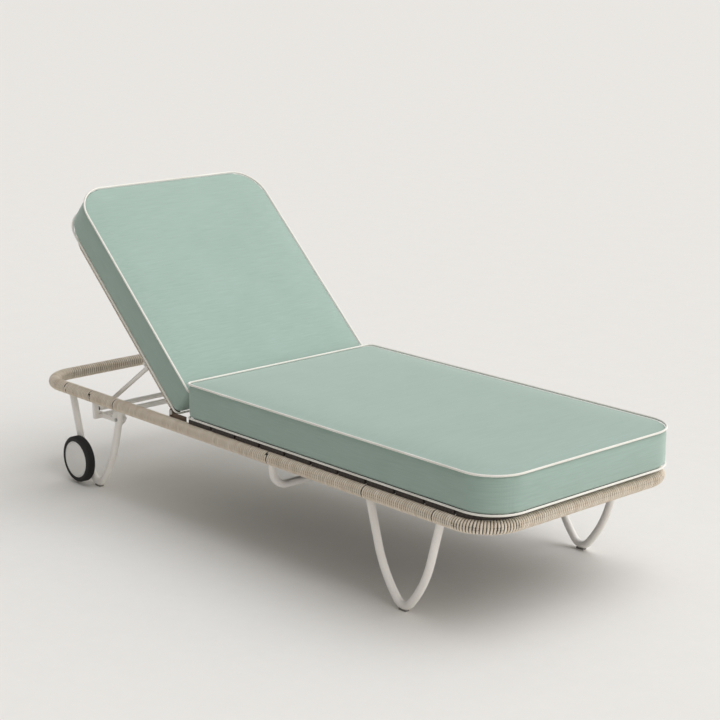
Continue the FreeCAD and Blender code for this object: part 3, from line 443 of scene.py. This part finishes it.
winding, given, last = start_tree("wound cord", [
    ("Tube Radius", "Float"), ("Cord Radius", "Float"), ("Pitch", "Float"),
    ("Steps", "Int"), ("Material", "Material")])
step = add(winding, "ShaderNodeMath", {"operation": "DIVIDE"},
           {0: given.outputs["Pitch"], 1: given.outputs["Steps"]})
cut = add(winding, "GeometryNodeResampleCurve", {"mode": "LENGTH"},
          {"Curve": given.outputs["Geometry"], "Length": step.outputs[0]})
level = add(winding, "GeometryNodeSetCurveNormal", {"mode": "Z_UP"},
            {"Curve": cut.outputs["Curve"]})
turned = add(winding, "ShaderNodeMath", {"operation": "DIVIDE"},
             {0: add(winding, "GeometryNodeInputIndex").outputs[0],
              1: given.outputs["Steps"]})
angle = add(winding, "ShaderNodeMath", {"operation": "MULTIPLY"},
            {0: turned.outputs[0], 1: 2 * math.pi})
sideways = add(winding, "ShaderNodeVectorMath", {"operation": "SCALE"},
               {0: add(winding, "GeometryNodeInputNormal").outputs[0],
                "Scale": add(winding, "ShaderNodeMath", {"operation": "COSINE"},
                             {0: angle.outputs[0]}).outputs[0]})
upward = add(winding, "ShaderNodeCombineXYZ", None,
             {"Z": add(winding, "ShaderNodeMath", {"operation": "SINE"},
                       {0: angle.outputs[0]}).outputs[0]})
spoke = add(winding, "ShaderNodeVectorMath", {"operation": "ADD"},
            {0: sideways.outputs[0], 1: upward.outputs[0]})
offset = add(winding, "ShaderNodeVectorMath", {"operation": "SCALE"},
             {0: spoke.outputs[0], "Scale": given.outputs["Tube Radius"]})
kept = add(winding, "GeometryNodeCaptureAttribute", None,
           {"Geometry": level.outputs["Curve"]})
kept.capture_items.new("VECTOR", "Offset")
winding.links.new(offset.outputs[0], kept.inputs["Offset"])
wound = add(winding, "GeometryNodeSetPosition", None,
            {"Geometry": kept.outputs["Geometry"], "Offset": kept.outputs["Offset"]})
measured = add(winding, "GeometryNodeCaptureAttribute", None,
               {"Geometry": wound.outputs["Geometry"]})
measured.capture_items.new("FLOAT", "Along")
winding.links.new(add(winding, "GeometryNodeSplineParameter").outputs["Length"],
                  measured.inputs["Along"])
cord_line = add(winding, "GeometryNodeCaptureAttribute", None,
                {"Geometry": measured.outputs["Geometry"]})
cord_line.capture_items.new("VECTOR", "Middle")
winding.links.new(add(winding, "GeometryNodeInputPosition").outputs[0],
                  cord_line.inputs["Middle"])
from_middle = add(winding, "ShaderNodeVectorMath", {"operation": "SUBTRACT"},
                  {0: add(winding, "GeometryNodeInputPosition").outputs[0],
                   1: cord_line.outputs["Middle"]})
outward = add(winding, "ShaderNodeVectorMath", {"operation": "NORMALIZE"},
              {0: kept.outputs["Offset"]})
# How far a point stands out; the rope's material paints shade into the creases from this.
reach = add(winding, "ShaderNodeVectorMath", {"operation": "DOT_PRODUCT"},
            {0: from_middle.outputs[0], 1: outward.outputs[0]})
stand = add(winding, "ShaderNodeMath", {"operation": "DIVIDE"},
            {0: reach.outputs["Value"], 1: given.outputs["Cord Radius"]})
end_tree(winding, given, last,
         sweep(winding, given, cord_line.outputs["Geometry"], measured.outputs["Along"], 8,
               [("stand", stand.outputs[0])]))
print("winding tree:", len(winding.nodes), "nodes")

# %% [markdown]
# A curve through points is the tree's food. Its result is baked to a plain mesh, so the
# finished piece has no live nodes.

# %% Curves in, meshes out
def curve_object(name, runs, closed=False):
    """A curve object with one straight-edged spline for each list of points."""
    data = bpy.data.curves.new(name, "CURVE")
    data.dimensions = "3D"
    for points in runs:
        spline = data.splines.new("POLY")
        spline.points.add(len(points) - 1)
        for held, point in zip(spline.points, points):
            held.co = (*point, 1.0)
        spline.use_cyclic_u = closed
    made = bpy.data.objects.new(name, data)
    bpy.context.collection.objects.link(made)
    return made


def bake(source, name, tree, values):
    """Runs a tree on an object and keeps only the plain mesh that comes out."""
    modifier = source.modifiers.new("nodes", "NODES")
    modifier.node_group = tree
    keys = {item.name: item.identifier for item in tree.interface.items_tree
            if item.item_type == "SOCKET" and item.in_out == "INPUT"}
    for label, value in values.items():
        modifier[keys[label]] = value
    source.update_tag()
    graph = bpy.context.evaluated_depsgraph_get()
    mesh = bpy.data.meshes.new_from_object(source.evaluated_get(graph),
                                           preserve_all_data_layers=True, depsgraph=graph)
    bpy.data.objects.remove(source)
    piece = bpy.data.objects.new(name, mesh)
    mesh.name = name
    bpy.context.collection.objects.link(piece)
    print(name, "has", sum(len(p.vertices) - 2 for p in mesh.polygons), "triangles")
    return piece


def arc(cx, cy, radius, start, sweep_angle, steps, z=0.0):
    """Points round part of a circle, in degrees."""
    return [(cx + radius * math.cos(math.radians(start + sweep_angle * i / steps)),
             cy + radius * math.sin(math.radians(start + sweep_angle * i / steps)), z)
            for i in range(steps + 1)]


# %% [markdown]
# The rope on the ring parts where a leg or a brace comes up into the tube, so the
# centre line is drawn as several runs with a small gap at each of those places.

# %% Rope round the ring
tube_low, tube_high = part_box("ring_frame_tube")
TUBE_R = (tube_high.z - tube_low.z) / 2
ring_x, ring_y = tube_high.x - TUBE_R, tube_high.y - TUBE_R
ring_z = (tube_high.z + tube_low.z) / 2
CORNER = 100 * MM
ROPE_R = 3.75 * MM
WRAP_R = 19 * MM
LEG_TUBE = 15.5 * MM  # from a leg's end to the middle of its upright
BREAK = 1.9 * MM  # half the gap in the rope at each upright


def rail_breaks():
    """Where the legs and braces come up into a side rail, along X."""
    places = []
    for leg in ("leg_front_near", "leg_rear_near"):
        low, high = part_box(leg)
        places += [low.x + LEG_TUBE, high.x - LEG_TUBE]
    for brace in ("mid_brace", "rear_brace"):
        low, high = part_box(brace)
        places.append((low.x + high.x) / 2)
    return sorted(places)


def ring_path():
    """The ring's centre line in runs that stop at each break."""
    ends = [-(ring_x - CORNER)] + rail_breaks() + [ring_x - CORNER]
    runs = []
    for side in (-1, 1):
        for a, b in zip(ends[1:-2], ends[2:-1]):
            runs.append([(a + BREAK, side * ring_y, ring_z),
                         (b - BREAK, side * ring_y, ring_z)])
    inner = ring_y - CORNER
    for way in (-1, 1):
        stop = (ends[-2] + BREAK) if way > 0 else (ends[1] - BREAK)
        near = arc(way * (ring_x - CORNER), -inner, CORNER, 270, 90 * way, 24, ring_z)
        far = arc(way * (ring_x - CORNER), inner, CORNER, 0 if way > 0 else 180,
                  90 * way, 24, ring_z)
        runs.append([(stop, -ring_y, ring_z)] + near + far + [(stop, ring_y, ring_z)])
    return runs


ring_rope = bake(curve_object("ring path", ring_path()), "rope_round_ring", winding, {
    "Tube Radius": WRAP_R - ROPE_R, "Cord Radius": ROPE_R, "Pitch": 2 * ROPE_R,
    "Steps": 18, "Material": rope})
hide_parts("ring_wrap_near", "ring_wrap_far", "ring_wrap_head",
            "ring_wrap_foot")
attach(ring_rope, "frame")

# %% [markdown]
# The backrest's loop is the same cord on a thinner tube. It is wound lying flat, with
# the hinge line as its origin, and then the mesh is turned up by the recline angle.

# %% Rope round the backrest
HINGE = Vector((-0.302, 0.0, 0.321))
lean = Matrix.Translation(HINGE) @ Matrix.Rotation(RECLINE, 4, "Y")
LOOP_Y, LOOP_TOP, LOOP_CORNER = 0.330, 0.701, 0.090
LOOP_ROPE = 2.9 * MM
LOOP_WRAP = 11 * MM
LOOP_START = -13.5 * MM
loop_inner = LOOP_Y - LOOP_CORNER
loop_points = [(LOOP_START, LOOP_Y, 0.0)]
loop_points += arc(-(LOOP_TOP - LOOP_CORNER), loop_inner, LOOP_CORNER, 90, 90, 24)
loop_points += arc(-(LOOP_TOP - LOOP_CORNER), -loop_inner, LOOP_CORNER, 180, 90, 24)
loop_points.append((LOOP_START, -LOOP_Y, 0.0))
back_rope = bake(curve_object("loop path", [loop_points]), "rope_round_backrest", winding, {
    "Tube Radius": LOOP_WRAP - LOOP_ROPE, "Cord Radius": LOOP_ROPE,
    "Pitch": 2 * LOOP_ROPE, "Steps": 16, "Material": rope})
back_rope.data.transform(lean)
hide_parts("backrest_wrap")
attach(back_rope, "backrest")

# %% [markdown]
# ## The cushions
# A box cushion is two panels joined by a boxing strip, with a piped seam at each edge,
# round a foam core. The foam pushes the cloth out and the seams hold it, so the panels
# crown and the strip bulges a little between them. That is what cloth simulation is
# for: the seams are pinned, an inner pressure swells the rest for a few frames, and the
# result is held to the few millimetres that firm foam allows. The underside lies on
# slats, so it barely moves.

# %% Cushion outline and body
def seam_outline(x0, x1, half, low_radius, high_radius, z):
    """A seam's closed line: a rectangle with small corners at x0 and large ones at x1."""
    points = arc(x1 - high_radius, half - high_radius, high_radius, 0, 90, 20, z)
    points += arc(x0 + low_radius, half - low_radius, low_radius, 90, 90, 8, z)
    points += arc(x0 + low_radius, -half + low_radius, low_radius, 180, 90, 8, z)
    points += arc(x1 - high_radius, -half + high_radius, high_radius, 270, 90, 20, z)
    return points


def box_body(name, outline, z0, z1, voxel):
    """A closed body between two seams, remeshed to even faces."""
    mesh = bpy.data.meshes.new(name)
    shape = bmesh.new()
    rings = [[shape.verts.new((x, y, z)) for x, y, _ in outline] for z in (z0, z1)]
    shape.faces.new(list(reversed(rings[0])))
    shape.faces.new(rings[1])
    for i in range(len(outline)):
        j = (i + 1) % len(outline)
        shape.faces.new((rings[0][i], rings[0][j], rings[1][j], rings[1][i]))
    shape.to_mesh(mesh)
    shape.free()
    body = bpy.data.objects.new(name, mesh)
    bpy.context.collection.objects.link(body)
    remesh = body.modifiers.new("even", "REMESH")
    remesh.mode = "VOXEL"
    remesh.voxel_size = voxel
    graph = bpy.context.evaluated_depsgraph_get()
    even = bpy.data.meshes.new_from_object(body.evaluated_get(graph), depsgraph=graph)
    body.modifiers.clear()
    body.data = even
    print(name, "remeshed to", len(even.vertices), "points")
    return body


# %% [markdown]
# The pinned points are those within a voxel of a seam. After the simulation each
# point's move is eased off towards its limit, so no flat plateau shows where the limit
# bites.

# %% Swell a cushion
FRAMES = 20
PRESSURE = 4
STRETCH, SHEAR, BEND = 12, 6, 2


def swell(body, z0, z1, inside, voxel, limits):
    """Swells a body by cloth pressure with its seams pinned, within limits per way."""
    rest = [v.co.copy() for v in body.data.vertices]
    held = body.vertex_groups.new(name="seams")
    pins = [v.index for v in body.data.vertices
            if min(abs(v.co.z - z0), abs(v.co.z - z1)) < voxel * 0.7
            and inside(v.co) < voxel * 0.9]
    held.add(pins, 1.0, "REPLACE")
    scene = bpy.context.scene
    cloth = body.modifiers.new("cloth", "CLOTH")
    cloth.settings.quality = 4
    cloth.settings.mass = 0.3
    cloth.settings.tension_stiffness = STRETCH
    cloth.settings.compression_stiffness = STRETCH
    cloth.settings.shear_stiffness = SHEAR
    cloth.settings.bending_stiffness = BEND
    cloth.settings.use_pressure = True
    cloth.settings.uniform_pressure_force = PRESSURE
    cloth.settings.vertex_group_mass = "seams"
    cloth.settings.effector_weights.gravity = 0
    cloth.point_cache.frame_start = 1
    cloth.point_cache.frame_end = FRAMES
    for number in range(1, FRAMES + 1):
        scene.frame_set(number)
    graph = bpy.context.evaluated_depsgraph_get()
    puffed = body.evaluated_get(graph).to_mesh()
    moves = [v.co - r for v, r in zip(puffed.vertices, rest)]
    body.evaluated_get(graph).to_mesh_clear()
    body.modifiers.clear()
    scene.frame_set(1)
    wide, up, down = limits
    for vertex, start, move in zip(body.data.vertices, rest, moves):
        rise = up if move.z > 0 else down
        flat = Vector((move.x, move.y, 0.0))
        if flat.length > 0:
            flat *= wide * math.tanh(flat.length / wide) / flat.length
        vertex.co = start + flat + Vector((0, 0, rise * math.tanh(move.z / rise)))
    print(body.name, "rose by", round(max(m.z for m in moves) * 1000, 1), "mm before limits")


def edge_distance(x0, x1, half, low_radius, high_radius):
    """How far inside the seam's line a point lies, as a function."""
    def inside(p):
        x, y = p.x, abs(p.y)
        for cx, radius, beyond in ((x1 - high_radius, high_radius, 1),
                                   (x0 + low_radius, low_radius, -1)):
            if (x - cx) * beyond > 0 and y > half - radius:
                return radius - math.hypot(x - cx, y - (half - radius))
        return min(x - x0, x1 - x, half - y)
    return inside


# %% [markdown]
# The piping is swept along both seams by a second, smaller tree that shares the cord
# sweep above.

# %% Piping tree
piping_tree, given, last = start_tree("piping", [("Cord Radius", "Float"),
                                                 ("Material", "Material")])
seam = add(piping_tree, "GeometryNodeResampleCurve", {"mode": "LENGTH"},
           {"Curve": given.outputs["Geometry"], "Length": 5 * MM})
seam_long = add(piping_tree, "GeometryNodeCaptureAttribute", None,
                {"Geometry": seam.outputs["Curve"]})
seam_long.capture_items.new("FLOAT", "Along")
piping_tree.links.new(add(piping_tree, "GeometryNodeSplineParameter").outputs["Length"],
                      seam_long.inputs["Along"])
end_tree(piping_tree, given, last,
         sweep(piping_tree, given, seam_long.outputs["Geometry"],
               seam_long.outputs["Along"], 12))
print("piping tree:", len(piping_tree.nodes), "nodes")

# %% Sew a cushion
PIPING_R = 3.1 * MM


def sew_cushion(name, size, voxel, panel, boxing, limits, turn, body_name, node):
    """A finished cushion: swollen body, two finishes, one subdivision and its piping."""
    x0, x1, half, low_radius, high_radius, z0, z1 = size
    outline = seam_outline(x0, x1, half, low_radius, high_radius, 0.0)
    body = box_body(name, outline, z0, z1, voxel)
    swell(body, z0, z1, edge_distance(x0, x1, half, low_radius, high_radius), voxel, limits)
    body.data.materials.clear()
    body.data.materials.append(panel)
    body.data.materials.append(boxing)
    for face in body.data.polygons:
        face.material_index = 0 if abs(face.normal.z) > 0.7 else 1
        face.use_smooth = True
    finer = body.modifiers.new("finer", "SUBSURF")
    finer.levels = finer.render_levels = 1
    cords = bake(curve_object(name + " seams", [
        [(x, y, z) for x, y, _ in outline] for z in (z0, z1)], closed=True),
        name + "_piping", piping_tree, {"Cord Radius": PIPING_R, "Material": piping_cord})
    for piece in (body, cords):
        piece.data.transform(turn)
        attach(piece, body_name)
    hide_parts(node)
    return body, cords


# %% Seat cushion
seat_low, seat_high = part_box("seat_cushion")
seat, seat_piping = sew_cushion(
    "seat_pad", (seat_low.x - 0.0035, seat_high.x + 0.005, 0.3555, 0.020, 0.104,
                 seat_low.z + 0.0035, seat_low.z + 0.104),
    10 * MM, seat_panel, seat_boxing, (4 * MM, 9 * MM, 2 * MM), Matrix.Identity(4),
    "frame", "seat_cushion")

# %% [markdown]
# The back cushion is made lying flat on the hinge's frame, like the backrest's rope.
# Its large corners are at the top, which is the far end along -X, so its outline is
# drawn the other way round and turned about.

# %% Back cushion
about = Matrix.Rotation(math.pi, 4, "Z")
back, back_piping = sew_cushion(
    "back_pad", (-0.016, 0.750, 0.3440, 0.016, 0.098, 0.0125, 0.1125),
    9 * MM, back_panel, back_boxing, (4 * MM, 8 * MM, 1 * MM), lean @ about,
    "backrest", "back_cushion")

# %% [markdown]
# ## Tyres
# A tyre is a turned section with grooves round it and small ribs across it, given as
# depths below the tread and distances across the wheel. The section is spun into a solid
# here, and the ribs are instances round a circle, which is a job for Geometry Nodes: one
# rib, placed once for every few degrees.

# %% Turned sections and ribs
def turned_section(name, section, centre, side, steps=96):
    """A closed ring from a section of (radius, distance outwards) points."""
    mesh = bpy.data.meshes.new(name)
    shape = bmesh.new()
    loops = []
    for i in range(steps):
        a = 2 * math.pi * i / steps
        loops.append([shape.verts.new((centre.x + r * math.cos(a), centre.y + side * d,
                                       centre.z + r * math.sin(a))) for r, d in section])
    for i in range(steps):
        here, there = loops[i], loops[(i + 1) % steps]
        for j in range(len(section)):
            k = (j + 1) % len(section)
            shape.faces.new((here[j], here[k], there[k], there[j]))
    bmesh.ops.recalc_face_normals(shape, faces=shape.faces)
    shape.to_mesh(mesh)
    shape.free()
    made = bpy.data.objects.new(name, mesh)
    bpy.context.collection.objects.link(made)
    return made


ribs, given, last = start_tree("tyre ribs", [
    ("Radius", "Float"), ("Count", "Int"), ("Rib", "Vector"), ("Material", "Material")])
hoop = add(ribs, "GeometryNodeCurvePrimitiveCircle", {"mode": "RADIUS"},
           {"Resolution": given.outputs["Count"], "Radius": given.outputs["Radius"]})
dots = add(ribs, "GeometryNodeCurveToPoints", {"mode": "EVALUATED"},
           {"Curve": hoop.outputs["Curve"]})
rib = add(ribs, "GeometryNodeMeshCube", None, {"Size": given.outputs["Rib"]})
placed = add(ribs, "GeometryNodeInstanceOnPoints", None,
             {"Points": dots.outputs["Points"], "Instance": rib.outputs["Mesh"],
              "Rotation": dots.outputs["Rotation"]})
end_tree(ribs, given, last, placed.outputs["Instances"], smooth=False)

TYRE_SECTION = [(15, 0), (6, 0), (2.5, 1.5), (0.8, 4), (0.2, 7), (1.6, 7.6), (1.6, 9.4),
                (0, 10), (0, 13), (1.6, 13.2), (1.6, 14.8), (0, 15), (0, 18),
                (1.6, 18.6), (1.6, 20.4), (0.2, 21), (0.8, 24), (2.5, 26.5), (6, 28),
                (15, 28)]
RIB_ROWS = (5.0, 23.0)
RIB_COUNT = 72
RIB_SUNK = 0.7 * MM
RIB_SIZE = (1.6 * MM, 3.4 * MM, 1.6 * MM)
for side, word in ((-1, "near"), (1, "far")):
    low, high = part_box("wheel_tyre_" + word)
    radius = (high.z - low.z) / 2
    inner_face = high.y if side < 0 else low.y
    centre = Vector(((low.x + high.x) / 2, inner_face, (low.z + high.z) / 2))
    tyre = turned_section("tyre_" + word,
                          [(radius - r * MM, d * MM) for r, d in TYRE_SECTION], centre, side)
    tyre.data.materials.append(tyre_rubber)
    for distance in RIB_ROWS:
        block = bake(curve_object("rib line", [[(0, 0, 0), (1, 0, 0)]]), "ribs", ribs, {
            "Radius": radius - RIB_SUNK, "Count": RIB_COUNT, "Rib": RIB_SIZE,
            "Material": tyre_rubber})
        block.data.transform(Matrix.Translation(centre + Vector((0, side * distance * MM, 0)))
                             @ Matrix.Rotation(math.radians(90), 4, "X"))
        joined = bmesh.new()
        joined.from_mesh(tyre.data)
        joined.from_mesh(block.data)
        joined.to_mesh(tyre.data)
        joined.free()
        bpy.data.objects.remove(block)
    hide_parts("wheel_tyre_" + word)
    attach(tyre, "wheel_" + word)

# %% [markdown]
# ## Floor, light and camera
# The camera looks down on a pale studio floor and never sees its far edge, so the floor
# is one large plane. The studio's big soft light stands beyond the foot end on the far
# side, so the room glows from there and fades to a dim wall on the near side. A broad
# sun adds the light from above: its rays are parallel, so the floor is evenly lit.

# %% Floor
FLOOR = 70  # half its side, in metres
floor_mesh = bpy.data.meshes.new("studio floor")
floor_mesh.from_pydata([(-FLOOR, -FLOOR, 0), (FLOOR, -FLOOR, 0), (FLOOR, FLOOR, 0),
                        (-FLOOR, FLOOR, 0)], [], [(0, 1, 2, 3)])
floor = bpy.data.objects.new("studio_floor", floor_mesh)
bpy.context.collection.objects.link(floor)
floor_mesh.materials.append(grained("painted plaster, warm white", "#e9e7e3", "#e7e5e1",
                                    30 * MM, 0.02 * MM, 0.9))
floor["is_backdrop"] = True

# %% Light
GLOW_FROM = (0.65, 0.65, 0.30)
DIM_WALL, BRIGHT_WALL = 0.20, 1.55
SUN_WAY = Vector((-0.30, -0.25, -0.92))
SUN_POWER, SUN_SPREAD = 1.13, 60
world = bpy.data.worlds.new("room")
bpy.context.scene.world = world
world.use_nodes = True
sky = world.node_tree
heading = add(sky, "ShaderNodeTexCoord").outputs["Generated"]
footward = add(sky, "ShaderNodeVectorMath", {"operation": "DOT_PRODUCT"},
               {0: heading, 1: GLOW_FROM})
glow = add(sky, "ShaderNodeMapRange", None,
           {"Value": footward.outputs["Value"], "From Min": -0.2, "From Max": 0.97,
            "To Min": DIM_WALL, "To Max": BRIGHT_WALL})
sky.links.new(glow.outputs[0], sky.nodes["Background"].inputs["Strength"])
sky.nodes["Background"].inputs["Color"].default_value = linear("#fffcf7")
sun_data = bpy.data.lights.new("window light", "SUN")
sun_data.energy = SUN_POWER
sun_data.angle = math.radians(SUN_SPREAD)
sun_data.color = linear("#f1f5ff")[:3]
window = bpy.data.objects.new("window_light", sun_data)
window.rotation_euler = SUN_WAY.to_track_quat("-Z", "Y").to_euler()
bpy.context.collection.objects.link(window)

# %% Camera
LENS, SENSOR = 90.535, 36
EYE = (3.8288, -3.3251, 1.7501)
YAW, PITCH = 0.8382, 0.2463
eye = bpy.data.cameras.new("camera")
eye.lens = LENS
eye.sensor_width = SENSOR
camera = bpy.data.objects.new("camera", eye)
camera.location = EYE
look = Vector((-math.sin(YAW) * math.cos(PITCH), math.cos(YAW) * math.cos(PITCH),
               -math.sin(PITCH)))
camera.rotation_euler = look.to_track_quat("-Z", "Y").to_euler()
eye.clip_end = 60
bpy.context.collection.objects.link(camera)
bpy.context.scene.camera = camera
bpy.context.scene.view_settings.view_transform = "Standard"

# %% Sizes
low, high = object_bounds()
print("visual box:", [round(v, 4) for v in low], [round(v, 4) for v in high])
